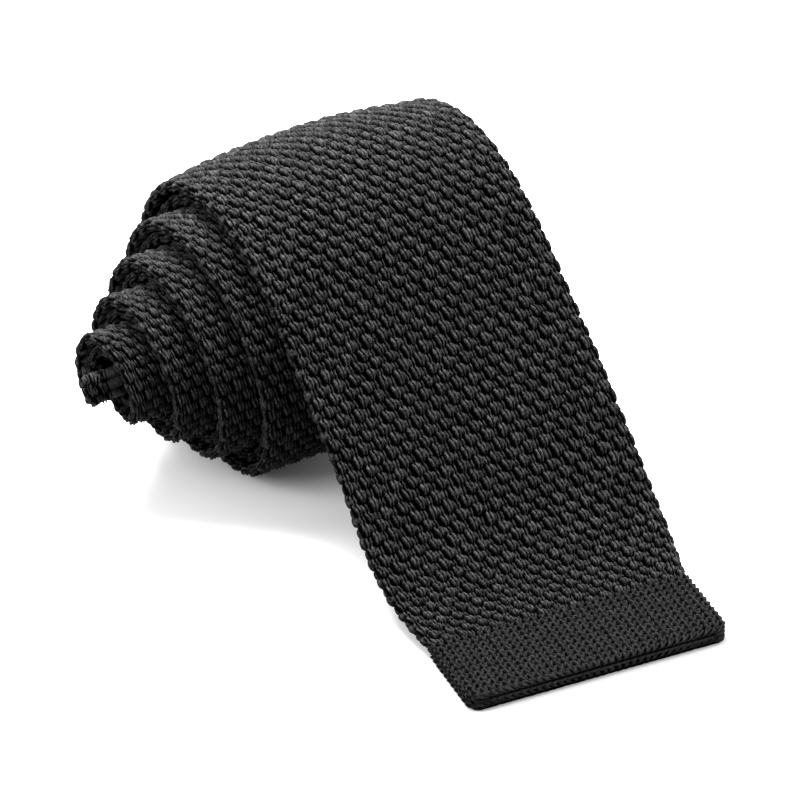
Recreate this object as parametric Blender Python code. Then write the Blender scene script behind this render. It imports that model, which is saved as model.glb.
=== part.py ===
"""Rolled knitted necktie with a square end.

The tie is a long flattened knitted sleeve.  It is folded in half at the neck and rolled up from
that fold, so every turn holds a layer of the wide blade with a layer of the tail just inside it.
The turns step out to the left like a cone.  The free end of the blade comes over the front of the
roll as a ramp and lies flat on the table, where a plain hem closes it.

X runs along the roll's axis, Y from the flat end to the roll, Z up.  The table is Z = 0 and the
origin is the middle of the flat end's underside.
"""

import math

import bmesh
import bpy
from mathutils import Vector

# Sleeve cross-section
GAP = 0.0003                    # clearance between pieces that touch
SLEEVE_THICK = 0.0021           # two plies pressed together
SLEEVE_WALL = 0.0009            # one ply at the folded side edges
LAY_THICK = 0.0023              # room that a sleeve takes up where it lies
EDGE_CHAMFER = 0.0006           # rounding of the folded side edges
BLADE_WIDTH = 0.060             # wide end
HEM_WIDTH = 0.054               # the plain hem draws the end in
NECK_WIDTH = 0.042              # narrow part that sits under a collar
TAIL_WIDTH = 0.050              # narrow end

# Roll
ROLL_RADIUS = 0.02915           # outer face where the blade leaves the roll
ROLL_TALL = 1.065               # the rolled section is a little deeper than high
ROLL_LEAN = 0.182               # and its top leans back over its foot
LAYER_PITCH = 0.00254
TURN_PITCH = 2.0 * LAYER_PITCH  # one blade layer and one tail layer
TURN_COUNT = 5
LAST_TURN = 0.655               # the innermost turn is not a full one
SEGMENTS = 20                   # flats in a full turn
TURN_STEP = 0.0066              # each turn stands out this much further to the left
STEP_DELAY = 0.911              # angle past the take-off line where that starts
TAIL_INSET = 0.0012             # the tail's left edge sits inside the blade's

# Free end of the blade
TAKE_OFF_ANGLE = math.radians(46.0)
RAMP_FILLET = 0.0443            # bend where the ramp meets the table
FILLET_SEGMENTS = 6
RAMP_SEGMENTS = 4
FLAT_LENGTH = 0.01374           # from the hem's end to the bend
TIP_FOLD = 0.0210               # the end folds up along this line
ORIGIN_AT = 0.0105              # the origin's distance from the hem's end
HEM_LENGTH = 0.0180
HEM_THICK = 0.0036
YAW = math.radians(7.165)       # the flat end is turned a little against the roll's axis
YAW_HOLD = 0.025                # the turn is taken out over the ramp, past this length
PATH_STEP = 0.0002

# Small pieces
THREAD = 0.0008                 # linking thread that closes an end
KEEPER_LENGTH = 0.044
KEEPER_WIDTH = 0.009
KEEPER_THICK = 0.0009
KEEPER_ROOM = 0.0028            # space for one sleeve behind the keeper
KEEPER_AT = 0.0185              # distance of its middle from the take-off line
LABEL_LENGTH = 0.034
LABEL_WIDTH = 0.010
LABEL_THICK = 0.0005
LABEL_AT = 0.0330
TACK_SIZE = (0.0016, 0.0075, 0.0006)
STITCH_SIZE = (0.0008, 0.0085, 0.0004)

START_ANGLE = -TAKE_OFF_ANGLE
TURN = 2.0 * math.pi
SEGMENT_ANGLE = TURN / SEGMENTS
TAIL_HEM_ANGLE = 2.0 * SEGMENT_ANGLE
TAIL_START_ANGLE = START_ANGLE + 0.06


def clear_scene():
    for obj in list(bpy.data.objects):
        bpy.data.objects.remove(obj, do_unlink=True)


def make_material(name, color, roughness):
    material = bpy.data.materials.new(name)
    material.use_nodes = True
    shader = material.node_tree.nodes["Principled BSDF"]
    shader.inputs["Base Color"].default_value = (*color, 1.0)
    shader.inputs["Roughness"].default_value = roughness
    return material


def add_mesh(name, verts, faces, material, parent=None):
    mesh = bpy.data.meshes.new(name)
    bm = bmesh.new()
    points = [bm.verts.new(v) for v in verts]
    for face in faces:
        bm.faces.new([points[i] for i in face])
    bmesh.ops.recalc_face_normals(bm, faces=bm.faces)
    if bm.calc_volume(signed=True) < 0.0:
        bmesh.ops.reverse_faces(bm, faces=bm.faces)
    bm.to_mesh(mesh)
    bm.free()
    mesh.materials.append(material)
    obj = bpy.data.objects.new(name, mesh)
    bpy.context.collection.objects.link(obj)
    if parent is not None:
        mesh.transform(parent.matrix_world.inverted())
        obj.parent = parent
    return obj


def add_pivot(name, location):
    pivot = bpy.data.objects.new(name, None)
    pivot.empty_display_size = 0.01
    pivot.location = location
    bpy.context.collection.objects.link(pivot)
    bpy.context.view_layer.update()
    return pivot


def chamfered_loop(half_width, half_thick, chamfer):
    """Eight corners of a flat rounded cross-section, as (across, normal) pairs."""
    inner_w = half_width - chamfer
    inner_t = half_thick - chamfer
    return [
        (half_width, inner_t), (inner_w, half_thick), (-inner_w, half_thick), (-half_width, inner_t),
        (-half_width, -inner_t), (-inner_w, -half_thick), (inner_w, -half_thick), (half_width, -inner_t),
    ]


def sweep_point(station, pair):
    middle, across, normal = station[:3]
    return middle + across * pair[0] + normal * pair[1]


def flat_tube(name, stations, material, parent=None):
    """A flattened tube, open at both ends.  A station is (middle, across, normal, width)."""
    verts = []
    slit = 0.5 * (SLEEVE_THICK - 2.0 * SLEEVE_WALL)
    for station in stations:
        half = 0.5 * station[3]
        outer = chamfered_loop(half, 0.5 * SLEEVE_THICK, EDGE_CHAMFER)
        inner = chamfered_loop(half - SLEEVE_WALL, slit, 0.6 * slit)
        verts += [sweep_point(station, pair) for pair in outer + inner]
    faces = []
    ring = 16
    for i in range(len(stations) - 1):
        for base in (0, 8):
            for j in range(8):
                a = i * ring + base + j
                b = i * ring + base + (j + 1) % 8
                faces.append((a, b, b + ring, a + ring) if base == 0 else (b, a, a + ring, b + ring))
    for first in (0, (len(stations) - 1) * ring):
        for j in range(8):
            k = (j + 1) % 8
            faces.append((first + j, first + k, first + 8 + k, first + 8 + j))
    return add_mesh(name, verts, faces, material, parent)


def solid_strip(name, stations, loop_of, material, parent=None):
    """A solid swept through the stations; loop_of gives the cross-section at each one."""
    verts = []
    for station in stations:
        loop = loop_of(station)
        verts += [sweep_point(station, pair) for pair in loop]
    count = len(loop)
    faces = []
    for i in range(len(stations) - 1):
        for j in range(count):
            a = i * count + j
            b = i * count + (j + 1) % count
            faces.append((a, b, b + count, a + count))
    last = (len(stations) - 1) * count
    faces.append(tuple(range(count)))
    faces.append(tuple(range(last + count - 1, last - 1, -1)))
    return add_mesh(name, verts, faces, material, parent)


# ---------------------------------------------------------------- roll geometry

def blade_radius(angle):
    """Outer face of the blade layer at an angle measured from the crest over the back."""
    return ROLL_RADIUS - TURN_PITCH * (angle - START_ANGLE) / TURN


def lowest_reach():
    """How far the outer turn's corners reach below the roll's centre."""
    reach = 0.0
    for i in range(SEGMENTS + 1):
        angle = START_ANGLE + i * SEGMENT_ANGLE
        reach = max(reach, -blade_radius(angle) * math.cos(angle))
    return reach


ROLL_HEIGHT = lowest_reach()
MID_RADIUS = ROLL_RADIUS - 0.5 * LAY_THICK
TAKE_OFF_HEIGHT = ROLL_HEIGHT + MID_RADIUS * math.cos(TAKE_OFF_ANGLE)
RAMP_SLOPE = math.atan2(math.sin(TAKE_OFF_ANGLE),
                        ROLL_TALL * math.cos(TAKE_OFF_ANGLE) + ROLL_LEAN * math.sin(TAKE_OFF_ANGLE))
FLAT_HEIGHT = 0.5 * LAY_THICK
FILLET_RISE = RAMP_FILLET * (1.0 - math.cos(RAMP_SLOPE))
STRAIGHT_LENGTH = (TAKE_OFF_HEIGHT - FLAT_HEIGHT - FILLET_RISE) / math.sin(RAMP_SLOPE)
FILLET_LENGTH = RAMP_FILLET * RAMP_SLOPE
TAKE_OFF = FLAT_LENGTH + FILLET_LENGTH + STRAIGHT_LENGTH


def slope_at(s):
    return min(max((s - FLAT_LENGTH) / RAMP_FILLET, 0.0), RAMP_SLOPE)


def yaw_at(s):
    t = min(max((s - YAW_HOLD) / (TAKE_OFF - YAW_HOLD), 0.0), 1.0)
    return YAW * (1.0 - t)


def path_point(s):
    """Middle of the sleeve at a distance s from the hem, walked in short steps from the origin."""
    count = max(1, round(abs(s - ORIGIN_AT) / PATH_STEP))
    step = (s - ORIGIN_AT) / count
    point = Vector((0.0, 0.0, FLAT_HEIGHT))
    for i in range(count):
        here = ORIGIN_AT + (i + 0.5) * step
        level = math.cos(slope_at(here)) * step
        point += Vector((math.sin(yaw_at(here)) * level, math.cos(yaw_at(here)) * level,
                         math.sin(slope_at(here)) * step))
    return point


def ramp_width(s):
    blend = min(max((s - HEM_LENGTH) / (TAKE_OFF * 0.45 - HEM_LENGTH), 0.0), 1.0)
    return HEM_WIDTH + (BLADE_WIDTH - HEM_WIDTH) * math.sin(0.5 * math.pi * blend)


def ramp_station(s):
    yaw = yaw_at(s)
    slope = slope_at(s)
    across = Vector((math.cos(yaw), -math.sin(yaw), 0.0))
    along = Vector((math.sin(yaw) * math.cos(slope), math.cos(yaw) * math.cos(slope), math.sin(slope)))
    return path_point(s), across, across.cross(along), ramp_width(s)


def section_offset(angle, radius):
    """Place in the leaning rolled section, against its centre."""
    return Vector((0.0, radius * (ROLL_TALL * math.sin(angle) + ROLL_LEAN * math.cos(angle)),
                   radius * math.cos(angle)))


def section_along(angle):
    """Unit direction in which the sleeve runs round the section."""
    return Vector((0.0, ROLL_TALL * math.cos(angle) - ROLL_LEAN * math.sin(angle), -math.sin(angle))).normalized()


def section_normal(angle):
    return Vector((1.0, 0.0, 0.0)).cross(section_along(angle))


TAKE_OFF_POINT = path_point(TAKE_OFF)
ROLL_CENTRE = TAKE_OFF_POINT - section_offset(START_ANGLE, MID_RADIUS)
TURNS_TOTAL = TURN_COUNT - 1 + LAST_TURN
END_ANGLE = START_ANGLE + TURN * TURNS_TOTAL


def roll_share(angle):
    """0 at the take-off line, 1 at the neck fold."""
    return (angle - START_ANGLE) / (END_ANGLE - START_ANGLE)


def corner_station(index, layer):
    """Station at one of the corners between flats, on the blade layer (0) or the tail layer (1)."""
    angle = START_ANGLE + index * SEGMENT_ANGLE
    radius = blade_radius(angle) - 0.5 * LAY_THICK - layer * LAYER_PITCH
    outer_width = TAIL_WIDTH if layer else BLADE_WIDTH
    width = outer_width + (NECK_WIDTH - outer_width) * roll_share(angle)
    stepped = max(angle - START_ANGLE - STEP_DELAY, 0.0)
    left = -0.5 * BLADE_WIDTH - TURN_STEP * stepped / TURN + layer * TAIL_INSET
    middle = ROLL_CENTRE + section_offset(angle, radius) + Vector((left + 0.5 * width, 0.0, 0.0))
    return middle, width


def roll_station(angle, layer):
    """Station at any angle.  Between two corners it lies on the flat that joins them."""
    place = (angle - START_ANGLE) / SEGMENT_ANGLE
    index = math.floor(place + 1e-6)
    middle, width = corner_station(index, layer)
    next_middle, next_width = corner_station(index + 1, layer)
    middle = middle.lerp(next_middle, place - index)
    width += (next_width - width) * (place - index)
    return middle, Vector((1.0, 0.0, 0.0)), section_normal(angle), width


def roll_stations(first, last, layer):
    """Stations between two angles, with the ends pulled in by half a gap."""
    pull_first = 0.5 * GAP / (blade_radius(first) - layer * LAYER_PITCH - 0.5 * SLEEVE_THICK)
    pull_last = 0.5 * GAP / (blade_radius(last) - layer * LAYER_PITCH - 0.5 * SLEEVE_THICK)
    angles = [first + pull_first]
    for i in range(SEGMENTS * TURN_COUNT + 1):
        angle = START_ANGLE + i * SEGMENT_ANGLE
        if first + 0.03 < angle < last - 0.03:
            angles.append(angle)
    angles.append(last - pull_last)
    return [roll_station(angle, layer) for angle in angles]


def build_turns(blade_yarn, tail_yarn, thread):
    for turn in range(1, TURN_COUNT + 1):
        first = START_ANGLE + TURN * (turn - 1)
        last = min(first + TURN, END_ANGLE)
        parent = None
        if turn > 1:
            parent = add_pivot(f"turn_{turn}_slide_axis", ROLL_CENTRE - Vector((TURN_STEP * (turn - 1), 0, 0)))
        flat_tube(f"blade_turn_{turn}", roll_stations(first, last, 0), blade_yarn, parent)
        tail_first = first + TAIL_HEM_ANGLE if turn == 1 else first
        flat_tube(f"tail_turn_{turn}", roll_stations(tail_first, last, 1), tail_yarn, parent)
        if turn == TURN_COUNT:
            build_neck_fold(blade_yarn, parent)
    build_tail_hem(tail_yarn, thread)


def build_tail_hem(yarn, thread):
    stations = roll_stations(TAIL_START_ANGLE, START_ANGLE + TAIL_HEM_ANGLE, 1)
    flat_tube("tail_hem_band", stations, yarn)
    angle = TAIL_START_ANGLE - (GAP + THREAD) / ROLL_RADIUS
    ends = [roll_station(angle, 1), roll_station(angle + THREAD / ROLL_RADIUS, 1)]
    half = 0.5 * THREAD

    def loop_of(station):
        reach = 0.5 * station[3] - EDGE_CHAMFER
        return [(reach, half), (-reach, half), (-reach, -half), (reach, -half)]

    solid_strip("tail_hem_linking", ends, loop_of, thread)


def build_neck_fold(yarn, parent):
    """The sleeve turns back on itself around a tight bend at the core."""
    angle = END_ANGLE
    blade = roll_station(angle, 0)
    tail = roll_station(angle, 1)
    pivot = 0.5 * (blade[0] + tail[0])
    bend = 0.5 * LAYER_PITCH
    forward = section_along(angle)
    outward = blade[2]
    stations = []
    count = 8
    for i in range(count + 1):
        turn = math.pi * i / count
        normal = outward * math.cos(turn) + forward * math.sin(turn)
        middle = pivot + normal * bend + forward * (0.5 * GAP)
        share = i / count
        middle.x = blade[0].x + (tail[0].x - blade[0].x) * share
        stations.append((middle, Vector((1.0, 0.0, 0.0)), normal, NECK_WIDTH))
    flat_tube("neck_fold", stations, yarn, parent)


def build_ramp(yarn, trim, label, thread):
    pivot = add_pivot("blade_lift_axis", TAKE_OFF_POINT + section_normal(START_ANGLE) * 0.5 * LAY_THICK)
    steps = [TIP_FOLD + 0.5 * GAP]
    bend = FLAT_LENGTH + FILLET_LENGTH - TIP_FOLD
    steps += [TIP_FOLD + bend * i / FILLET_SEGMENTS for i in range(1, FILLET_SEGMENTS + 1)]
    foot = FLAT_LENGTH + FILLET_LENGTH
    steps += [foot + STRAIGHT_LENGTH * i / RAMP_SEGMENTS for i in range(1, RAMP_SEGMENTS)]
    steps.append(TAKE_OFF - 0.5 * GAP)
    flat_tube("blade_ramp", [ramp_station(s) for s in steps], yarn, pivot)
    build_keeper(trim, thread, pivot)
    build_label(label, thread, pivot)
    return pivot


def block_on_ramp(name, at, offset, size, depth, material, parent):
    """A small slab under the ramp: size is (across, along, thick), depth its near face."""
    middle, across, normal, _ = ramp_station(TAKE_OFF - at)
    along = normal.cross(across)
    verts = []
    for n in (-depth, -depth - size[2]):
        for a, b in ((-0.5, -0.5), (0.5, -0.5), (0.5, 0.5), (-0.5, 0.5)):
            verts.append(middle + across * (offset + a * size[0]) + along * (b * size[1]) + normal * n)
    faces = [(0, 1, 2, 3), (7, 6, 5, 4), (0, 4, 5, 1), (1, 5, 6, 2), (2, 6, 7, 3), (3, 7, 4, 0)]
    return add_mesh(name, verts, faces, material, parent)


def build_keeper(trim, thread, parent):
    """A band across the back of the blade, held at both ends, with room for the tail behind it."""
    middle, across, normal, _ = ramp_station(TAKE_OFF - KEEPER_AT)
    along = normal.cross(across)
    near = 0.5 * SLEEVE_THICK + SLEEVE_THICK * 0.15 + GAP
    half = 0.5 * KEEPER_LENGTH
    foot = 0.004
    rise = 0.002
    profile = [(-half, near), (-half + foot, near), (-half + foot + rise, near + KEEPER_ROOM)]
    profile += [(half - foot - rise, near + KEEPER_ROOM), (half - foot, near), (half, near)]
    verts = []
    for x, depth in profile:
        for n, b in ((0.0, -0.5), (0.0, 0.5), (KEEPER_THICK, 0.5), (KEEPER_THICK, -0.5)):
            verts.append(middle + across * x - normal * (depth + n) + along * (b * KEEPER_WIDTH))
    faces = []
    for i in range(len(profile) - 1):
        for j in range(4):
            a = 4 * i + j
            b = 4 * i + (j + 1) % 4
            faces.append((a, b, b + 4, a + 4))
    last = 4 * (len(profile) - 1)
    faces.append((0, 1, 2, 3))
    faces.append((last + 3, last + 2, last + 1, last))
    add_mesh("keeper_loop", verts, faces, trim, parent)
    for side, sign in (("left", -1.0), ("right", 1.0)):
        block_on_ramp(f"keeper_tack_{side}", KEEPER_AT, sign * (half - 0.5 * foot), TACK_SIZE,
                      near + KEEPER_THICK + GAP, thread, parent)


def build_label(label, thread, parent):
    near = 0.5 * SLEEVE_THICK + SLEEVE_THICK * 0.15 + GAP
    size = (LABEL_LENGTH, LABEL_WIDTH, LABEL_THICK)
    block_on_ramp("blank_label", LABEL_AT, 0.0, size, near, label, parent)
    for side, sign in (("left", -1.0), ("right", 1.0)):
        block_on_ramp(f"label_stitch_{side}", LABEL_AT, sign * (0.5 * LABEL_LENGTH - 0.0015), STITCH_SIZE,
                      near + LABEL_THICK + GAP, thread, parent)


def build_tip(yarn, hem_yarn, thread, blade_pivot):
    fold = ramp_station(TIP_FOLD)
    pivot = add_pivot("tip_lift_axis", fold[0] + fold[2] * (0.5 * SLEEVE_THICK))
    bpy.context.view_layer.update()
    pivot.parent = blade_pivot
    pivot.matrix_parent_inverse = blade_pivot.matrix_world.inverted()
    bpy.context.view_layer.update()
    sleeve = [ramp_station(HEM_LENGTH + 0.5 * GAP), ramp_station(TIP_FOLD - 0.5 * GAP)]
    flat_tube("tip_sleeve", sleeve, yarn, pivot)
    build_hem(hem_yarn, thread, pivot)


def build_hem(yarn, thread, parent):
    """Two plies laid together, with the linking thread in the groove between their ends."""
    ply = 0.5 * (HEM_THICK - GAP)
    groove = 0.0009
    corner = 0.0030
    half = 0.5 * HEM_WIDTH
    plies = (("hem_ply_back", 0.0, ply, False), ("hem_ply_front", ply + GAP, HEM_THICK, True))
    for name, low, high, inner_low in plies:
        stations = []
        for s, reach in ((0.0, half - corner), (0.3 * corner, half - 0.3 * corner), (corner, half)):
            stations.append((ramp_station(s), reach, max(0.0, groove - s)))
        stations.append((ramp_station(FLAT_LENGTH), half, 0.0))
        stations.append((ramp_station(HEM_LENGTH - 0.5 * GAP), half, 0.0))
        verts = []
        for (middle, across, normal, _), reach, cut in stations:
            bottom = low - FLAT_HEIGHT + (cut if inner_low else 0.0)
            top = high - FLAT_HEIGHT - (0.0 if inner_low else cut)
            edge = reach - EDGE_CHAMFER
            low_reach = reach if inner_low else edge
            high_reach = edge if inner_low else reach
            for a, n in ((-low_reach, bottom), (low_reach, bottom), (high_reach, top), (-high_reach, top)):
                verts.append(middle + across * a + normal * n)
        faces = []
        for i in range(len(stations) - 1):
            for j in range(4):
                a = 4 * i + j
                b = 4 * i + (j + 1) % 4
                faces.append((a, b, b + 4, a + 4))
        last = 4 * (len(stations) - 1)
        faces.append((0, 1, 2, 3))
        faces.append((last + 3, last + 2, last + 1, last))
        add_mesh(name, verts, faces, yarn, parent)
    level = 0.5 * HEM_THICK - FLAT_HEIGHT
    half_thread = 0.5 * THREAD
    reach = half - corner - EDGE_CHAMFER

    def loop_of(station):
        return [(reach, level + half_thread), (-reach, level + half_thread),
                (-reach, level - half_thread), (reach, level - half_thread)]

    ends = [ramp_station(-0.0003), ramp_station(0.0004)]
    solid_strip("hem_linking_thread", ends, loop_of, thread, parent)


def main():
    clear_scene()
    blade_yarn = make_material("blade_yarn", (0.030, 0.030, 0.031), 0.90)
    tail_yarn = make_material("tail_yarn", (0.026, 0.026, 0.027), 0.92)
    hem_yarn = make_material("hem_yarn", (0.034, 0.034, 0.035), 0.90)
    trim = make_material("keeper_tape", (0.020, 0.020, 0.021), 0.80)
    label = make_material("label_cloth", (0.045, 0.045, 0.047), 0.70)
    thread = make_material("linking_thread", (0.015, 0.015, 0.016), 0.85)
    build_turns(blade_yarn, tail_yarn, thread)
    blade_pivot = build_ramp(blade_yarn, trim, label, thread)
    build_tip(blade_yarn, hem_yarn, thread, blade_pivot)


main()
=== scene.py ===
"""Looks of the rolled knitted tie: knitted sleeves with real stitch relief, plain hem, studio floor.

Lengths in this file are in millimetres until they reach a mesh, which is in metres.
The path runs from the hem (s = 0) up the ramp and then round the roll to the folded neck.
"""

import math

import bpy
import numpy as np
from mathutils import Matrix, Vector


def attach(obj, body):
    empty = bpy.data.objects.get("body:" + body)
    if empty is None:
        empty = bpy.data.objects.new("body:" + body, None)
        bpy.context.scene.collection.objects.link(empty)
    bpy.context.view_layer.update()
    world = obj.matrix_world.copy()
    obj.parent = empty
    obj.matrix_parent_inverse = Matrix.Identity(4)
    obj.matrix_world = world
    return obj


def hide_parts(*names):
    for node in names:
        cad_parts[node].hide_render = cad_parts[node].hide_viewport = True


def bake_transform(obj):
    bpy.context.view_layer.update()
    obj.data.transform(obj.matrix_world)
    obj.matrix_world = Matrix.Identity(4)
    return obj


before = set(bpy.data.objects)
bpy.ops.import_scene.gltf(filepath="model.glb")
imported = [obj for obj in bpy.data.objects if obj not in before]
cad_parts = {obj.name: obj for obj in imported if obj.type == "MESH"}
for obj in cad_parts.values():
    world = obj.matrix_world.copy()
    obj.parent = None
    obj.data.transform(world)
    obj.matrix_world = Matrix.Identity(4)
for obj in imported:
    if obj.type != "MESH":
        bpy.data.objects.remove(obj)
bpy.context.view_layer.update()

MM = 0.001
TAU = 2.0 * math.pi

# Lay of the tie, fitted to how it lies
LAY = 2.3                       # sleeve thickness that the path is laid out for
ROLL_RADIUS = 29.148
SLOPE = math.radians(46.005)    # of the ramp at the line where it leaves the roll
FILLET = 44.342                 # radius of the bend from the ramp to the table
FLAT = 13.738                   # length that lies on the table
YAW = math.radians(7.165)       # turn of the flat end
YAW_HOLD = 24.964               # it keeps that turn as far as here
PITCH = 5.082                   # one turn: a blade layer and a tail layer
STEP_OUT = 6.607                # telescoping per turn
STEP_DELAY = 0.911              # angle before the telescoping starts
TALL = 1.065                    # the roll's section is a little longer than tall
LEAN = 0.182                    # and leans toward its foot
TURNS = 4.655
FOLD_REACH = 1.5                # angle that the neck fold fills of the core
CROWN = 2.65                    # how far the middle of the outer layer stands proud
ORIGIN_AT = 10.5                # the frame's origin lies this far from the hem's end

HEM_WIDTH = 53.6
BLADE_WIDTH = 60.0
NECK_WIDTH = 42.0
TAIL_WIDTH = 50.0
TAIL_INSET = 1.2                # of the tail's left edge from the blade's
HEM_LENGTH = 18.0
HEM_HALF = 1.9                  # half of the hem's thickness
SLEEVE_HALF = 1.24              # half of a sleeve's thickness, stitches included
FOLD_HALF = 1.15                # the same at the neck fold
CLOTH_HALF = 0.28               # half of the thickness without the stitches
CLOTH_INSET = 1.15              # of the cloth from the edge of the stitches
SKIN = 0.42                     # as much of the half thickness is stitches
HEM_SKIN = 0.22
HEM_CORNER = 3.0                # radius of the hem's corners
HEM_PLIES = (("back", 0.05, 1.95), ("front", 1.95, 3.85))       # and the heights they fill
HEM_GROWTH = 30.0               # length over which the free end thickens toward the hem
ROLL_GROWTH = 70.0              # from here on it takes on the roll's thickness
CROWN_START = 60.0
CROWN_GROWTH = 70.0
CROWN_END = (0.42, 0.56)        # in turns past the take-off line

# Where the pieces meet
BODIES = ["outer_turn", "turn_2", "turn_3", "turn_4", "core"]
RAMP_SPLIT = 60.0
TIP_BEND = (18.5, 29.0)         # from the tip's body to the blade's
ROLL_BEND = 13.0                # from the blade's body to the outer turn's, up to the take-off line
LINK = 0.3                      # share of a turn, at its end, that is baked in place rather than riding on its body
TAIL_HEM_START = 0.012          # in turns
TAIL_HEM_TURN = 0.1

# Knit
REPEAT_A = 3.54                 # two wales
REPEAT_B = 4.44                 # along the tie
REPEATS = 34                    # round the sleeve
WALE = 1.60                     # plain knitting of the hem
COURSE = 1.55
RELIEF = 0.95
TILE_TOP = 0.47                 # where the usual raised stitch ends
PLAIN_TOP = 0.31
CLOSER = 0.22                   # share by which repeats are closer together next to the hem
CLOSER_LENGTH = 22.0
BLADE_SEED = 11
TAIL_SEED = 18
HEM_SEED = 41
TRIM_SEED = 61

# Steps of the grids, finest where the knit faces the viewer
FINE = 0.17
FREE_BACK = 0.34
HEM_STEP, HEM_BACK = 0.2, 0.24
TURN_FRONT = 0.20
TURN_ROWS = 0.24
HIDDEN_ROWS = 0.32
TAIL_FRONT = 0.28
TRIM_STEP, TRIM_BACK = 0.22, 0.3
CLOTH_STEP = 0.8
CLOTH_COLUMNS = 96
SHOWN_TURN = 100.0 / 360.0      # the outer turn faces the viewer as far as here

# Keeper loop and label under the ramp, measured from the middle of the ramp
NEAR = 1.85                     # its lower face
LOOP_ROOM = 2.8                 # room under the keeper loop
KEEPER_BACK = 18.5              # distance back from the take-off line
LABEL_BACK = 33.0

# Stage
WORLD_LIGHT = 1.15
LIGHT_AIM = (0.01, 0.05, 0.02)
FLOOR_REACH = 4.0
VIEW_AZIMUTH = math.radians(31.465)
VIEW_ELEVATION = math.radians(35.41)
VIEW_DISTANCE = 1.1093
VIEW_TARGET = (14.547, 95.142)  # from the middle of the hem's end
SENSOR = 36.0
LENS = 5621.9 / 800.0 * SENSOR


# ---------------------------------------------------------------- path

def smooth(t):
    t = np.clip(t, 0.0, 1.0)
    return t * t * (3.0 - 2.0 * t)


def quarter_round(t):
    """Height of a quarter circle at t from its edge."""
    return np.sqrt(np.clip(1.0 - (1.0 - np.clip(t, 0, 1)) ** 2, 0.0, 1.0))


ANGLE = np.linspace(-SLOPE, -SLOPE + TAU * TURNS, int(TURNS * 720))
RHO = ROLL_RADIUS - LAY / 2 - PITCH * (ANGLE + SLOPE) / TAU
CENTRE_Z = float((RHO * -np.cos(ANGLE)).max()) + LAY / 2
MID = ROLL_RADIUS - LAY / 2
RISE = math.atan2(math.sin(SLOPE), TALL * math.cos(SLOPE) + LEAN * math.sin(SLOPE))
TAKE_Z = CENTRE_Z + MID * math.cos(SLOPE)
STRAIGHT = (TAKE_Z - LAY / 2 - FILLET * (1.0 - math.cos(RISE))) / math.sin(RISE)
TAKE_OFF = FLAT + FILLET * RISE + STRAIGHT


def lay_ramp():
    """Middle, across, normal and width along the free end, every quarter millimetre."""
    count = int(round(TAKE_OFF / 0.25))
    s = np.linspace(0.0, TAKE_OFF, count + 1)
    mid = 0.5 * (s[1:] + s[:-1])

    def slope_yaw(at):
        slope = np.clip((at - FLAT) / FILLET, 0.0, RISE)
        yaw = YAW * (1.0 - np.clip((at - YAW_HOLD) / (TAKE_OFF - YAW_HOLD), 0.0, 1.0))
        return slope, yaw

    slope, yaw = slope_yaw(mid)
    step = TAKE_OFF / count
    moves = np.c_[np.sin(yaw) * np.cos(slope), np.cos(yaw) * np.cos(slope), np.sin(slope)] * step
    middle = np.r_[np.zeros((1, 3)), np.cumsum(moves, axis=0)]
    middle[:, 0] -= ORIGIN_AT * math.sin(YAW)
    middle[:, 1] -= ORIGIN_AT * math.cos(YAW)
    middle[:, 2] += LAY / 2
    slope, yaw = slope_yaw(s)
    across = np.c_[np.cos(yaw), -np.sin(yaw), 0 * yaw]
    along = np.c_[np.sin(yaw) * np.cos(slope), np.cos(yaw) * np.cos(slope), np.sin(slope)]
    grow = np.clip((s - HEM_LENGTH) / (TAKE_OFF * 0.45 - HEM_LENGTH), 0.0, 1.0)
    width = HEM_WIDTH + (BLADE_WIDTH - HEM_WIDTH) * np.sin(0.5 * math.pi * grow)
    return s, middle, across, np.cross(across, along), width


RAMP = lay_ramp()
ROLL_X = RAMP[1][-1, 0]
ROLL_Y = RAMP[1][-1, 1] - (TALL * MID * math.sin(-SLOPE) + LEAN * MID * math.cos(SLOPE))


def roll_section(angle, layer):
    """Middle, across, normal and width of the roll at angles: blade layer (0) or tail layer (1)."""
    turned = angle + SLOPE
    rho = ROLL_RADIUS - LAY / 2 - PITCH * turned / TAU - layer * PITCH / 2
    outer = TAIL_WIDTH if layer else BLADE_WIDTH
    width = outer + (NECK_WIDTH - outer) * np.minimum(turned / (TAU * TURNS), 1.0)
    left = ROLL_X - BLADE_WIDTH / 2 + layer * TAIL_INSET
    left = left - STEP_OUT * np.maximum(turned - STEP_DELAY, 0.0) / TAU
    sin, cos = np.sin(angle), np.cos(angle)
    middle = np.c_[left + width / 2, ROLL_Y + TALL * rho * sin + LEAN * rho * cos, CENTRE_Z + rho * cos]
    ty, tz = TALL * cos - LEAN * sin, -sin
    size = np.hypot(ty, tz)
    normal = np.c_[0 * sin, -tz / size, ty / size]
    across = np.c_[np.ones_like(sin), 0 * sin, 0 * sin]
    return middle, across, normal, width


def running(middle):
    """Running length along a line of points."""
    return np.r_[0.0, np.cumsum(np.linalg.norm(np.diff(middle, axis=0), axis=1))]


def lay_roll(layer):
    """The roll with its own running length."""
    middle, across, normal, width = roll_section(ANGLE, layer)
    return running(middle) + TAKE_OFF, middle, across, normal, width


ROLL = lay_roll(0), lay_roll(1)


def read_path(path, s):
    """Middle, across, normal and width of a path at running lengths s."""
    run, middle, across, normal, width = path

    def at(values):
        return np.stack([np.interp(s, run, values[:, k]) for k in range(3)], axis=1)

    return at(middle), at(across), at(normal), np.interp(s, run, width)


def run_at(layer, turns):
    """Running length on a layer at a number of turns past the take-off line."""
    return float(np.interp(-SLOPE + TAU * turns, ANGLE, ROLL[layer][0]))


# ---------------------------------------------------------------- stitch relief

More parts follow.
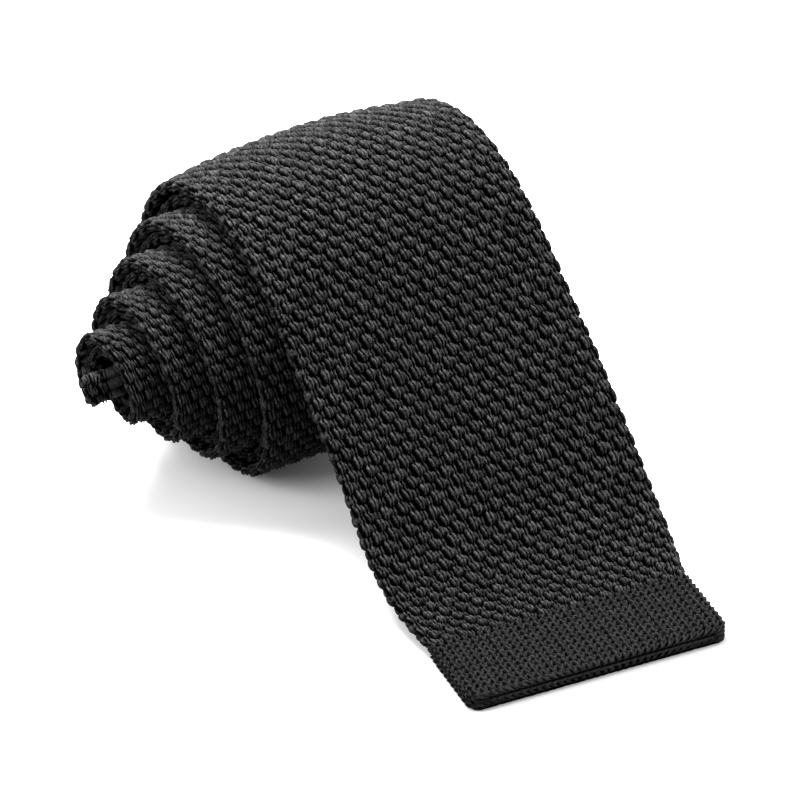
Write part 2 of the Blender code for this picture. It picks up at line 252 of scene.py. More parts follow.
def new_tile(across, along, size, step, floor):
    """Height and colour level of a block of repeats of the knit, across x along of them, each of that
    size; the colour level is painted shade, darkest where no yarn lies, with a little random tone.
    """
    cols = int(round(across * size[0] / step))
    rows = int(round(along * size[1] / step))
    return {"repeats": (across, along), "size": (across * size[0], along * size[1]),
            "height": np.full((rows, cols), floor), "shade_and_tone": np.zeros((rows, cols))}


def stamp(tile, points, radius, shade_and_tone):
    """Lays a round yarn along the points (across, along, height); its colour level falls off to its
    sides, painted shade on the yarn's flanks.
    """
    height, (wide, long) = tile["height"], tile["size"]
    rows, cols = height.shape
    points = np.asarray(points, float)
    fine = np.linspace(0, len(points) - 1, 7 * (len(points) - 1) + 1)
    line = np.stack([np.interp(fine, np.arange(len(points)), points[:, k]) for k in range(3)], axis=1)
    thick = np.interp(fine, np.arange(len(points)), np.broadcast_to(radius, len(points)))
    for (x, y, z), r in zip(line, thick):
        c = np.arange(math.floor((x - r) * cols / wide), math.ceil((x + r) * cols / wide) + 1)
        w = np.arange(math.floor((y - r) * rows / long), math.ceil((y + r) * rows / long) + 1)
        dx, dy = (c + 0.5) * wide / cols - x, (w + 0.5) * long / rows - y
        square = 1.0 - (dx[None, :] ** 2 + dy[:, None] ** 2) / (r * r)
        dome = np.sqrt(np.maximum(square, 0.0))
        place = np.ix_(w % rows, c % cols)
        old = height[place]
        top = np.where(square > 0, z + r * dome, -9.0)
        over = top > old
        height[place] = np.where(over, top, old)
        tile["shade_and_tone"][place] = np.where(over, shade_and_tone * dome, tile["shade_and_tone"][place])


def body_tile():
    """Staggered raised stitches, two wales a repeat and half a repeat out of step, all a bit unlike."""
    tile = new_tile(17, 6, (REPEAT_A, REPEAT_B), 0.05, -1.15)
    rng = np.random.default_rng(3)
    # The last number of each strand sets how light it is: the low stitches and the yarn between wales
    # are painted darker, and the right leg a little darker than the left, as painted shade.
    strands = (
        # raised stitch: two fat legs leaning the same way
        ([(-0.16, -1.20, -0.50), (-0.28, -0.60, -0.02), (-0.46, 0.15, 0.10), (-0.62, 0.75, -0.02),
          (-0.56, 1.15, -0.45)], [0.19, 0.27, 0.30, 0.26, 0.17], 1.0),
        ([(0.34, -1.20, -0.50), (0.42, -0.60, -0.06), (0.36, 0.15, 0.06), (0.20, 0.75, -0.06),
          (0.18, 1.15, -0.48)], [0.18, 0.25, 0.28, 0.24, 0.16], 0.94),
        # low stitch between two raised ones
        ([(-0.36, 1.15, -0.52), (-0.44, 1.70, -0.22), (-0.58, 2.25, -0.18), (-0.50, 2.85, -0.52)],
         [0.17, 0.25, 0.25, 0.16], 0.80),
        ([(0.26, 1.10, -0.54), (0.26, 1.65, -0.26), (0.16, 2.20, -0.22), (0.22, 2.85, -0.54)],
         [0.16, 0.23, 0.23, 0.15], 0.74),
        # yarn passing from wale to wale
        ([(0.70, 0.80, -0.52), (0.92, 0.25, -0.32), (0.90, -0.35, -0.34), (1.06, -0.85, -0.54)],
         [0.15, 0.20, 0.20, 0.15], 0.66),
    )
    for column in range(17):
        for row in range(6):
            for half_step in (0.0, 0.5):
                ox, oy = (column + half_step) * REPEAT_A, (row + half_step) * REPEAT_B
                shift = rng.normal(0.0, (0.04, 0.06, 0.03))
                lean = rng.normal(0.0, 0.05)
                for points, radius, shade_and_tone in strands:
                    away = rng.normal(0.0, (0.025, 0.05, 0.04), (len(points), 3)) + shift
                    line = [(ox + x + dx + lean * y, oy + y + dy, z + dz)
                            for (x, y, z), (dx, dy, dz) in zip(points, away)]
                    stamp(tile, line, np.array(radius) * rng.uniform(0.88, 1.12),
                          shade_and_tone * rng.uniform(0.80, 1.08))
    return tile


def plain_tile():
    """Plain knitting: columns of V stitches."""
    tile = new_tile(6, 8, (WALE, COURSE), 0.03, -0.80)
    rng = np.random.default_rng(8)
    leg = [(0.08, -0.88, -0.50), (0.18, -0.45, -0.16), (0.42, 0.12, 0.0), (0.54, 0.50, -0.12),
           (0.46, 0.85, -0.50)]
    for column in range(6):
        for row in range(8):
            shift = rng.normal(0.0, 0.04, 2)
            # The right leg of each V is painted a little darker: painted shade.
            for side, shade_and_tone in ((-1.0, 1.0), (1.0, 0.85)):
                ox, oy = (column + 0.5) * WALE + shift[0], (row + 0.5) * COURSE + shift[1]
                points = [(ox + side * x, oy + y, z) for x, y, z in leg]
                stamp(tile, points, [0.22, 0.29, 0.31, 0.28, 0.2], shade_and_tone * rng.uniform(0.85, 1.05))
    return tile


def sample(tile, field, u, v):
    """Value of a field of a tile at u, v counted in repeats."""
    grid, (across, along) = tile[field], tile["repeats"]
    rows, cols = grid.shape
    x = (u / across % 1.0) * cols - 0.5
    y = (v / along % 1.0) * rows - 0.5
    x0, y0 = np.floor(x).astype(int), np.floor(y).astype(int)
    fx, fy = x - x0, y - y0
    a = grid[y0 % rows, x0 % cols]
    b = grid[y0 % rows, (x0 + 1) % cols]
    c = grid[(y0 + 1) % rows, x0 % cols]
    d = grid[(y0 + 1) % rows, (x0 + 1) % cols]
    return (a * (1 - fx) + b * fx) * (1 - fy) + (c * (1 - fx) + d * fx) * fy


BODY_TILE = body_tile()
PLAIN_TILE = plain_tile()


def wander(s, a, seed):
    """Slow unevenness of hand-finished fabric, within about one."""
    rng = np.random.default_rng(seed)
    total = np.zeros(np.broadcast(s, a).shape)
    for _ in range(6):
        ks, ka = rng.uniform(0.05, 0.35), rng.uniform(0.03, 0.25)
        total = total + np.sin(ks * s + rng.uniform(0, TAU)) * np.sin(ka * a + rng.uniform(0, TAU))
    return total / 2.5


# ---------------------------------------------------------------- meshes

def columns(front, left_only=None, back=0.9, edge=0.30, coarse=1.2, half_width=30.0, half=0.9):
    """Places round the section, as shares of its outline, dense where stitches show."""
    flat = 2 * (half_width - half)
    arc = 0.5 * math.pi * half
    outline = 2 * flat + 4 * arc
    marks = [0.0]

    def run(length, step):
        count = max(2, int(round(length / step)))
        start = marks[-1]
        marks.extend(start + length * (i + 1) / count for i in range(count))

    run(arc, edge)
    if left_only is None:
        run(flat, front)
    else:
        run(left_only, front)
        run(flat - left_only, coarse)
    run(2 * arc, edge)
    run(flat, back)
    run(arc, edge)
    return np.array(marks[:-1]) / outline


def outline_point(q, half_width, half):
    """Point and outward normal of a flat round-ended section at shares q of its outline."""
    flat = 2 * (half_width - half)
    arc = 0.5 * math.pi * half
    t = q * (2 * flat + 4 * arc)
    f = flat / 2
    angle_a = math.pi - t / half
    angle_b = math.pi / 2 - (t - arc - flat) / half
    angle_c = -math.pi / 2 - (t - 3 * arc - 2 * flat) / half
    on_a, on_top = t < arc, (t >= arc) & (t < arc + flat)
    on_b = (t >= arc + flat) & (t < 3 * arc + flat)
    on_low = (t >= 3 * arc + flat) & (t < 3 * arc + 2 * flat)
    parts = [on_a, on_top, on_b, on_low]
    na = np.select(parts, [np.cos(angle_a), 0 * t, np.cos(angle_b), 0 * t], np.cos(angle_c))
    nb = np.select(parts, [np.sin(angle_a), 1 + 0 * t, np.sin(angle_b), -1 + 0 * t], np.sin(angle_c))
    a = np.select(parts, [-f, t - arc - f, f + 0 * t, f - (t - 3 * arc - flat)], -f)
    return a + half * na * ~(on_top | on_low), half * nb, na, nb


def outline_rows(q, half_widths, halves):
    """outline_point for each row of a piece."""
    rows = [outline_point(q, width, half) for width, half in zip(half_widths, halves)]
    return (np.array(part) for part in zip(*rows))


def in_space(middle, across, normal, a, b):
    """Points at a across and b along the normal of each row's middle."""
    return middle[:, None, :] + across[:, None, :] * a[..., None] + normal[:, None, :] * b[..., None]


def make_object(name, points, shade_and_tone, material, closed=True, knit=None):
    """A mesh from a grid of points (rows, columns, 3) in millimetres, closed round its columns."""
    rows, cols = points.shape[:2]
    verts = points.reshape(-1, 3) * MM
    r = np.arange(rows - 1)[:, None] * cols
    c = np.arange(cols if closed else cols - 1)[None, :]
    c2 = (c + 1) % cols
    quads = np.stack([r + c, r + c2, r + cols + c2, r + cols + c], axis=-1).reshape(-1, 4)
    mesh = bpy.data.meshes.new(name)
    mesh.vertices.add(len(verts))
    mesh.vertices.foreach_set("co", verts.astype(np.float32).ravel())
    mesh.loops.add(4 * len(quads))
    mesh.loops.foreach_set("vertex_index", quads.astype(np.int32).ravel())
    mesh.polygons.add(len(quads))
    mesh.polygons.foreach_set("loop_start", np.arange(0, 4 * len(quads), 4, dtype=np.int32))
    mesh.polygons.foreach_set("use_smooth", np.ones(len(quads), bool))
    mesh.update(calc_edges=True)
    uv = mesh.uv_layers.new(name="OFBake")
    cc = np.broadcast_to(c, (rows - 1, c.shape[1])).ravel()
    rr = np.broadcast_to(np.arange(rows - 1)[:, None], (rows - 1, c.shape[1])).ravel()
    width = float(cols if closed else cols - 1)
    corner_u = np.stack([cc, cc + 1, cc + 1, cc], axis=1) / width
    corner_v = np.stack([rr, rr, rr + 1, rr + 1], axis=1) / (rows - 1.0)
    uv.data.foreach_set("uv", np.stack([corner_u, corner_v], axis=-1).astype(np.float32).ravel())
    # The painted shade, with a little random tone, goes on the mesh as a point attribute.
    layer = mesh.attributes.new("shade_and_tone", "FLOAT", "POINT")
    layer.data.foreach_set("value", np.asarray(shade_and_tone, np.float32).ravel())
    if knit is None:
        knit = points[..., :2]
    place = mesh.attributes.new("knit", "FLOAT_VECTOR", "POINT")
    knit = np.concatenate([knit, 0 * knit[..., :1]], axis=-1)
    place.data.foreach_set("vector", knit.astype(np.float32).ravel())
    mesh.materials.append(material)
    obj = bpy.data.objects.new(name, mesh)
    bpy.context.collection.objects.link(obj)
    return obj


def sleeve(name, path, s, q, material, half, seed, phase, tile=None, repeats=REPEATS,
           crown=None, lift=None, skin=SKIN, relief=1.0):
    """A flattened knitted sleeve along the path at the running lengths s."""
    middle, across, normal, width = read_path(path, s)
    tile = tile or BODY_TILE
    half = np.broadcast_to(half, s.shape).astype(float)
    core = half - skin
    if lift is not None:
        middle = middle + normal * lift[:, None]
    a, b, na, nb = outline_rows(q, width / 2 - skin, core)
    # a little unevenness in where the stitches sit
    v = phase[:, None] + 0.06 * wander(s[:, None] * 2.2, a * 2.2, seed)
    u = q[None, :] * repeats + 0.05 * wander(s[:, None] * 2.0, a * 2.4, seed + 1)
    # Height and painted shade of the stitches, the shade darkest between them.
    height, shade_and_tone = sample(tile, "height", u, v), sample(tile, "shade_and_tone", u, v)
    top = PLAIN_TOP if tile is PLAIN_TILE else TILE_TOP
    relief = relief * RELIEF
    edge = smooth((np.abs(a) - (width[:, None] / 2 - 4.5)) / 4.0)
    rise = (height - top) * relief * (1.0 - 0.45 * edge) + skin
    rise = rise + 0.08 * relief * wander(s[:, None], a, seed + 2)
    rise = np.maximum(rise, 0.15 - core[:, None])
    pa = a + na * rise
    pb = b + nb * rise
    if crown is not None:
        pb = pb + crown[:, None] * (1.0 - (2.0 * np.clip(a / width[:, None], -0.5, 0.5)) ** 2)
    points = in_space(middle, across, normal, pa, pb)
    knit = np.stack([u / repeats * 2 * BLADE_WIDTH, v * tile["size"][1] / tile["repeats"][1]], axis=-1)
    return make_object(name, points, shade_and_tone, material, knit=knit)


def cloth_tube(name, path, first, last, material, crown=None, lift=None):
    """The knitted cloth itself, a plain flattened tube that the raised stitches stand on."""
    s = spaced(first, last, CLOTH_STEP)
    middle, across, normal, width = read_path(path, s)
    if lift is not None:
        middle = middle + normal * lift(s)[:, None]
    q = np.arange(CLOTH_COLUMNS) / float(CLOTH_COLUMNS)
    a, b, _, _ = outline_rows(q, width / 2 - CLOTH_INSET, np.full(len(s), CLOTH_HALF))
    if crown is not None:
        b = b + crown(s)[:, None] * (1.0 - (2.0 * a / width[:, None]) ** 2)
    points = in_space(middle, across, normal, a, b)
    # The cloth gets the darkest colour of its yarn: a near black sheet, painted shade that shows
    # between the stitches.
    return make_object(name, points, np.zeros(points.shape[:2]), material)


# ---------------------------------------------------------------- materials

def yarn_material(name, dark, light, roughness=0.80, fine=5200.0):
    """Dark to light with the stitches' painted shade and random tone, mottled by fibres, slow patches
    and plies.
    """
    material = bpy.data.materials.new(name)
    material.use_nodes = True
    tree = material.node_tree
    nodes, links = tree.nodes, tree.links
    shader = nodes["Principled BSDF"]
    coords = nodes.new("ShaderNodeTexCoord")
    shade_and_tone = nodes.new("ShaderNodeAttribute")
    shade_and_tone.attribute_name = "shade_and_tone"
    fibre = nodes.new("ShaderNodeTexNoise")
    fibre.inputs["Scale"].default_value = fine
    fibre.inputs["Detail"].default_value = 2.0
    links.new(coords.outputs["Object"], fibre.inputs["Vector"])
    patch = nodes.new("ShaderNodeTexNoise")
    patch.inputs["Scale"].default_value = 260.0
    patch.inputs["Detail"].default_value = 1.0
    links.new(coords.outputs["Object"], patch.inputs["Vector"])
    # The first colour is the painted shade between and beside the yarns, the second the yarn's own
    # colour.
    ramp = nodes.new("ShaderNodeValToRGB")
    ramp.color_ramp.elements[0].position = 0.26
    ramp.color_ramp.elements[0].color = (*dark, 1.0)
    ramp.color_ramp.elements[1].position = 0.95
    ramp.color_ramp.elements[1].color = (*light, 1.0)
    links.new(shade_and_tone.outputs["Fac"], ramp.inputs["Fac"])
    speckle = nodes.new("ShaderNodeMapRange")
    speckle.inputs["To Min"].default_value = 0.62
    speckle.inputs["To Max"].default_value = 1.38
    links.new(fibre.outputs["Fac"], speckle.inputs["Value"])
    cloud = nodes.new("ShaderNodeMapRange")
    cloud.inputs["To Min"].default_value = 0.80
    cloud.inputs["To Max"].default_value = 1.20
    links.new(patch.outputs["Fac"], cloud.inputs["Value"])
    # plies of the yarn: short strokes that lean along the stitches
    knit = nodes.new("ShaderNodeAttribute")
    knit.attribute_name = "knit"
    turned = nodes.new("ShaderNodeMapping")
    turned.inputs["Rotation"].default_value = (0.0, 0.0, math.radians(-16.0))
    turned.inputs["Scale"].default_value = (2.7, 1.0, 1.0)
    links.new(knit.outputs["Vector"], turned.inputs["Vector"])
    strokes = nodes.new("ShaderNodeTexNoise")
    strokes.inputs["Scale"].default_value = 1.0
    strokes.inputs["Detail"].default_value = 2.0
    strokes.inputs["Roughness"].default_value = 0.6
    links.new(turned.outputs["Vector"], strokes.inputs["Vector"])
    plies = nodes.new("ShaderNodeMapRange")
    plies.inputs["From Min"].default_value = 0.36
    plies.inputs["From Max"].default_value = 0.62
    plies.inputs["To Min"].default_value = 0.30
    plies.inputs["To Max"].default_value = 1.50
    links.new(strokes.outputs["Fac"], plies.inputs["Value"])
    product = nodes.new("ShaderNodeMath")
    product.operation = "MULTIPLY"
    links.new(speckle.outputs["Result"], product.inputs[0])
    both = nodes.new("ShaderNodeMath")
    both.operation = "MULTIPLY"
    links.new(cloud.outputs["Result"], both.inputs[0])
    links.new(plies.outputs["Result"], both.inputs[1])
    links.new(both.outputs["Value"], product.inputs[1])
    tint = nodes.new("ShaderNodeVectorMath")
    tint.operation = "SCALE"
    links.new(ramp.outputs["Color"], tint.inputs[0])
    links.new(product.outputs["Value"], tint.inputs["Scale"])
    links.new(tint.outputs["Vector"], shader.inputs["Base Color"])
    bump = nodes.new("ShaderNodeBump")
    bump.inputs["Strength"].default_value = 0.6
    bump.inputs["Distance"].default_value = 0.00018
    links.new(plies.outputs["Result"], bump.inputs["Height"])
    links.new(bump.outputs["Normal"], shader.inputs["Normal"])
    shader.inputs["Roughness"].default_value = roughness
    # Less specular where the shade is painted, none in the gaps.
    shine = nodes.new("ShaderNodeMath")
    shine.operation = "MULTIPLY"
    shine.inputs[1].default_value = 0.15
    links.new(shade_and_tone.outputs["Fac"], shine.inputs[0])
    links.new(shine.outputs["Value"], shader.inputs["Specular IOR Level"])
    return material


BLADE_YARN = yarn_material("blade_yarn_look", (0.0005, 0.0005, 0.0005), (0.048, 0.048, 0.049))
# A darker copy of the blade's yarn: painted shade on the inner turns.
TAIL_YARN = yarn_material("tail_yarn_look", (0.0005, 0.0005, 0.0005), (0.042, 0.042, 0.043))
TRIM_YARN = yarn_material("keeper_tape_look", (0.0006, 0.0006, 0.0007), (0.030, 0.030, 0.031),
                          roughness=0.6)
LABEL_CLOTH = yarn_material("label_cloth_look", (0.010, 0.010, 0.011), (0.055, 0.055, 0.057),
                            roughness=0.5)
THREAD_LOOK = yarn_material("linking_thread_look", (0.004, 0.004, 0.004), (0.018, 0.018, 0.019),
                            roughness=0.6)
# A darker copy of the blade's yarn: painted shade on the hem.
HEM_YARN = yarn_material("hem_yarn_look", (0.0007, 0.0007, 0.0008), (0.0165, 0.0165, 0.017))


# ---------------------------------------------------------------- pieces

def body_phase(s):
    """Repeats counted along the tie; they are closer together next to the hem."""
    fine = np.linspace(0.0, 620.0, 6201)
    local = REPEAT_B * (1.0 - CLOSER * (1.0 - smooth((fine - HEM_LENGTH) / CLOSER_LENGTH)))
    total = np.r_[0.0, np.cumsum(0.1 / local[:-1])]
    return np.interp(s, fine, total)


def ramp_half(s):
    """Half thickness of the free end, which grows toward the hem and a little toward the roll."""
    at_roll = float(turn_half(0, TAKE_OFF)) - SLEEVE_HALF
    return (SLEEVE_HALF + (HEM_HALF - SLEEVE_HALF) * (1.0 - smooth((s - HEM_LENGTH) / HEM_GROWTH))
            + at_roll * smooth((s - ROLL_GROWTH) / (TAKE_OFF - ROLL_GROWTH)))


def crown_at(s):
    """How far the middle of the outer layer stands proud: over ramp and back, gone at the foot."""
    first, last = (run_at(0, turns) for turns in CROWN_END)
    rising = smooth((s - CROWN_START) / CROWN_GROWTH)
    return CROWN * rising * (1.0 - smooth((s - first) / (last - first)))


def spaced(first, last, step):
    """Places from first to last, about a step apart."""
    return np.linspace(first, last, max(3, int(round((last - first) / step)) + 1))


def point_on(path, s):
    middle = read_path(path, np.array([s]))[0][0]
    return Vector(middle * MM)


def turn_half(layer, s):
    """Half thickness of a turn, which fills the space between its neighbours all the way round."""
    angle = np.interp(s, ROLL[layer][0], ANGLE)
    spread = TALL / np.hypot(TALL * np.cos(angle) - LEAN * np.sin(angle), np.sin(angle))
    return SLEEVE_HALF * spread


def free_end_lift(s):
    """Shift along the normal: lower face on the table at the hem, upper face in place on the ramp."""
    far = smooth((s - HEM_LENGTH) / HEM_GROWTH)
    return (ramp_half(s) - LAY / 2) * (1.0 - far) + (LAY / 2 - SLEEVE_HALF) * far


def turn_lift(s):
    """The same shift for the turns of the roll."""
    return np.full_like(s, LAY / 2 - SLEEVE_HALF)


def hem_to_ramp(obj):
    """The foot lies between the tip's body and the blade's; its place is baked into its mesh."""
    point_on(RAMP, TIP_BEND[0])
    point_on(RAMP, TIP_BEND[1])
    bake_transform(obj)


def ramp_to_roll(obj):
    """The top of the ramp lies between the blade's body and the outer turn's; its place is baked into
    its mesh.
    """
    point_on(RAMP, TAKE_OFF - ROLL_BEND)
    point_on(RAMP, TAKE_OFF)
    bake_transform(obj)


def place_knit(knit, cloth, node, hold):
    """Holds the stitches and the cloth under them the same way and hides the node they stand for."""
    for obj in (knit, cloth):
        hold(obj)
    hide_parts(node)


def build_free_end():
    q = columns(FINE, back=FREE_BACK)
    for name, first, last, node, hold in (
            ("blade_foot", HEM_LENGTH, RAMP_SPLIT, "tip_sleeve", hem_to_ramp),
            ("blade_ramp", RAMP_SPLIT, TAKE_OFF, "blade_ramp", ramp_to_roll)):
        s = spaced(first, last, FINE)
        knit = sleeve(f"{name}_knit", RAMP, s, q, BLADE_YARN, ramp_half(s), BLADE_SEED, body_phase(s),
                      crown=crown_at(s), lift=free_end_lift(s))
        cloth = cloth_tube(f"{name}_cloth", RAMP, first, last, BLADE_YARN, crown_at, free_end_lift)
        width = float(np.mean(read_path(RAMP, s)[3]))
        place_knit(knit, cloth, node, hold)


def turn_grid(layer, turn, first, last):
    """Rows and columns of a stretch of a turn: fine only where it shows."""
    if layer == 0 and turn == 0:
        rows = spaced(first, last, HIDDEN_ROWS)
        dense = min(max(run_at(0, SHOWN_TURN), first), last)
        if dense - first > 1.0:
            rows = np.r_[spaced(first, dense, FINE), spaced(dense, last, HIDDEN_ROWS)[1:]]
        return rows, columns(TURN_FRONT, back=1.6)
    if layer == 0:
        return spaced(first, last, TURN_ROWS), columns(TURN_FRONT, left_only=13.0, coarse=1.5, back=1.8)
    return spaced(first, last, HIDDEN_ROWS), columns(TAIL_FRONT, left_only=4.0, coarse=2.0, back=2.0)


def build_turns():
    """Each turn rides on its body, and its last stretch, up to the next turn's body, is baked in place.
    """
    for layer, label, yarn, seed in ((0, "blade", BLADE_YARN, BLADE_SEED),
                                     (1, "tail", TAIL_YARN, TAIL_SEED)):
        for turn, body in enumerate(BODIES):
            start = TAIL_HEM_TURN if layer and turn == 0 else float(turn)
            end = min(turn + 1.0, TURNS)
            link = end - LINK if turn < len(BODIES) - 1 else end
            stretches = [(start, link, f"{label}_turn_{turn + 1}_knit")]
            if link < end:
                stretches.append((link, end, f"{label}_turn_{turn + 1}_link"))
            for t0, t1, name in stretches:
                first, last = run_at(layer, t0), run_at(layer, t1)
                s, q = turn_grid(layer, turn, first, last)
                crown = crown_at if layer == 0 and turn == 0 else None
                knit = sleeve(name, ROLL[layer], s, q, yarn, turn_half(layer, s), seed, body_phase(s),
                              crown=crown(s) if crown else None, lift=turn_lift(s))
                cloth = cloth_tube(f"{name}_cloth", ROLL[layer], first, last, yarn, crown, turn_lift)

                def hold(obj):
                    if name.endswith("link"):
                        point_on(ROLL[layer], first)
                        point_on(ROLL[layer], last)
                        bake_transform(obj)
                    else:
                        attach(obj, body)

                width = float(np.mean(read_path(ROLL[layer], s)[3]))
                place_knit(knit, cloth, f"{label}_turn_{turn + 1}", hold)


def build_neck_fold():
    """The sleeve runs a little further into the core, turns back and comes out as the tail."""
    more = np.linspace(ANGLE[-1], ANGLE[-1] + FOLD_REACH, 24)
    inward = roll_section(more, 0)
    outward = [values[::-1] for values in roll_section(more, 1)]
    first, last = inward[0][-1], outward[0][0]
    pivot, bend = 0.5 * (first + last), 0.5 * float(np.linalg.norm((first - last)[1:]))
    up = inward[2][-1]
    ahead = np.cross(up, np.array([1.0, 0.0, 0.0]))
    turn = np.linspace(0.0, math.pi, 26)[1:-1, None]
    normal = up * np.cos(turn) + ahead * np.sin(turn)
    middle = pivot + normal * bend
    middle[:, 0] = first[0] + (last[0] - first[0]) * turn[:, 0] / math.pi
    middle = np.r_[inward[0], middle, outward[0]]
    across = np.tile([1.0, 0.0, 0.0], (len(middle), 1))
    normal = np.r_[inward[2], normal, -outward[2]]
    width = np.full(len(middle), NECK_WIDTH)
    run = running(middle) + ROLL[0][0][-1]
    path = (run, middle, across, normal, width)
    q = columns(TAIL_FRONT, left_only=4.0, coarse=2.0, back=2.0, half_width=NECK_WIDTH / 2)
    s = spaced(run[0], run[-1], 0.2)
    knit = sleeve("neck_fold_knit", path, s, q, BLADE_YARN, FOLD_HALF, BLADE_SEED, body_phase(s),
                  skin=0.38)
    cloth = cloth_tube("neck_fold_cloth", path, run[0], run[-1], BLADE_YARN)
    place_knit(knit, cloth, "neck_fold", lambda obj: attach(obj, "core"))


def build_tail_hem():
    """The tail's own plain hem, at the start of its outermost turn."""
    first, last = run_at(1, TAIL_HEM_START), run_at(1, TAIL_HEM_TURN)
    s = spaced(first, last, 0.25)
    q = columns(0.26, left_only=6.0, coarse=1.0, back=1.0)
    knit = sleeve("tail_hem_knit", ROLL[1], s, q, HEM_YARN, SLEEVE_HALF, HEM_SEED, s / COURSE,
                  tile=PLAIN_TILE, repeats=62, skin=0.3, relief=0.8, lift=turn_lift(s))
    cloth = cloth_tube("tail_hem_cloth", ROLL[1], first, last, HEM_YARN, lift=turn_lift)
    place_knit(knit, cloth, "tail_hem_band", lambda obj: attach(obj, "outer_turn"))
    middle, across, normal, _ = (x[0] for x in read_path(ROLL[1], np.array([first - 0.35])))
    side = across * 23.0
    thread_run("tail_hem_thread", middle - side, middle + side, normal, 0.35, "outer_turn",
               "tail_hem_linking")


def thread_run(name, start, end, normal, radius, body, node, loops=0, reach=0.0):
    """A sewing thread from start to end; with loops it zigzags by reach to both sides."""
    way = end - start
    length = float(np.linalg.norm(way))
    way = way / length
    side = np.cross(normal, way)
    count = max(24, int(length / 0.3)) if not loops else loops * 16
    t = np.linspace(0.0, 1.0, count)
    swing = np.sin(t * loops * TAU) * reach if loops else 0.12 * np.sin(t * length * TAU / 1.6)
    rise = 0.10 * np.cos(t * (loops or length / 1.6) * TAU * 2)
    centre = start + way * (t * length)[:, None] + side * swing[:, None] + normal * rise[:, None]
    along = np.gradient(centre, axis=0)
    along /= np.linalg.norm(along, axis=1, keepdims=True)
    out = np.cross(along, normal)
    out /= np.linalg.norm(out, axis=1, keepdims=True)
    up = np.cross(out, along)
    ring = np.linspace(0, TAU, 10, endpoint=False)
    thick = radius * np.sqrt(np.clip(1.0 - (2.0 * t - 1.0) ** 40, 0.0, 1.0))[:, None, None]
    wave = 1.0 + 0.10 * np.cos(2 * ring[None, :] - 5.0 * (t * length)[:, None])
    points = centre[:, None, :] + thick * wave[..., None] * (
        out[:, None, :] * np.cos(ring)[None, :, None] + up[:, None, :] * np.sin(ring)[None, :, None])
    # The thread is lighter on the ridges of its twist and darker in its grooves: painted shade.
    obj = make_object(name, points, wave - 0.35, THREAD_LOOK)
    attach(obj, body)
    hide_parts(node)


def ramp_frame(back):
    """Middle, across, along and normal of the ramp at a distance back from the take-off line."""
    middle, across, normal, _ = (x[0] for x in read_path(RAMP, np.array([TAKE_OFF - back])))
    return middle, across, np.cross(normal, across), normal


def tape(name, profile, width, half, material, node, place, repeats, skin, relief):
    """A band under the ramp, following (across, depth) points of its profile."""
    middle, across, along, normal = place
    count = 160
    profile = np.array(profile, float)
    steps = np.r_[0.0, np.cumsum(np.hypot(*np.diff(profile, axis=0).T))]
    run = np.linspace(0.0, steps[-1], count)
    x = np.interp(run, steps, profile[:, 0])
    depth = np.interp(run, steps, profile[:, 1])
    depth[4:-4] = np.convolve(depth, np.ones(9) / 9.0, mode="valid")      # rounds the profile's corners
    centre = middle + across * x[:, None] - normal * depth[:, None]
    way = np.gradient(centre, axis=0)
    way /= np.linalg.norm(way, axis=1, keepdims=True)
    side = np.tile(along, (count, 1))
    out = np.cross(side, way)
    path = (run, centre, side, out, np.full(count, width))
    q = columns(TRIM_STEP, back=TRIM_BACK, half_width=width / 2, half=half, edge=0.15)
    s = spaced(0.0, run[-1], TRIM_STEP)
    obj = sleeve(name, path, s, q, material, half, TRIM_SEED, s / COURSE * 1.6, tile=PLAIN_TILE,
                 repeats=repeats, skin=skin, relief=relief)
    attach(obj, "blade")
    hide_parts(node)


def build_trim():
    """Keeper loop with its tacks, and the blank label, on the back of the blade."""
    place = ramp_frame(KEEPER_BACK)
    on, off = NEAR + 0.4, NEAR + LOOP_ROOM
    tape("keeper_tape", [(-22, on), (-18, on), (-16, off), (16, off), (18, on), (22, on)], 9.0, 0.45,
         TRIM_YARN, "keeper_loop", place, 18, 0.12, 0.25)
    tacks("keeper_tack", place, 20.0, 1.1, 3.7, 0.26, loops=5, reach=0.7)
    place = ramp_frame(LABEL_BACK)
    tape("label_patch", [(-17, NEAR + 0.25), (17, NEAR + 0.25)], 10.0, 0.25, LABEL_CLOTH, "blank_label",
         place, 36, 0.08, 0.12)
    tacks("label_stitch", place, 15.5, 0.6, 4.2, 0.18, loops=7, reach=0.35)


def tacks(name, place, out, down, half_length, radius, loops, reach):
    """A zigzag of thread at both ends of a band under the ramp."""
    middle, across, along, normal = place
    for side, sign in (("left", -1.0), ("right", 1.0)):
        spot = middle + across * (sign * out) - normal * (NEAR + down)
        thread_run(f"{name}_{side}_thread", spot - along * half_length, spot + along * half_length,
                   -normal, radius, "blade", f"{name}_{side}", loops=loops, reach=reach)


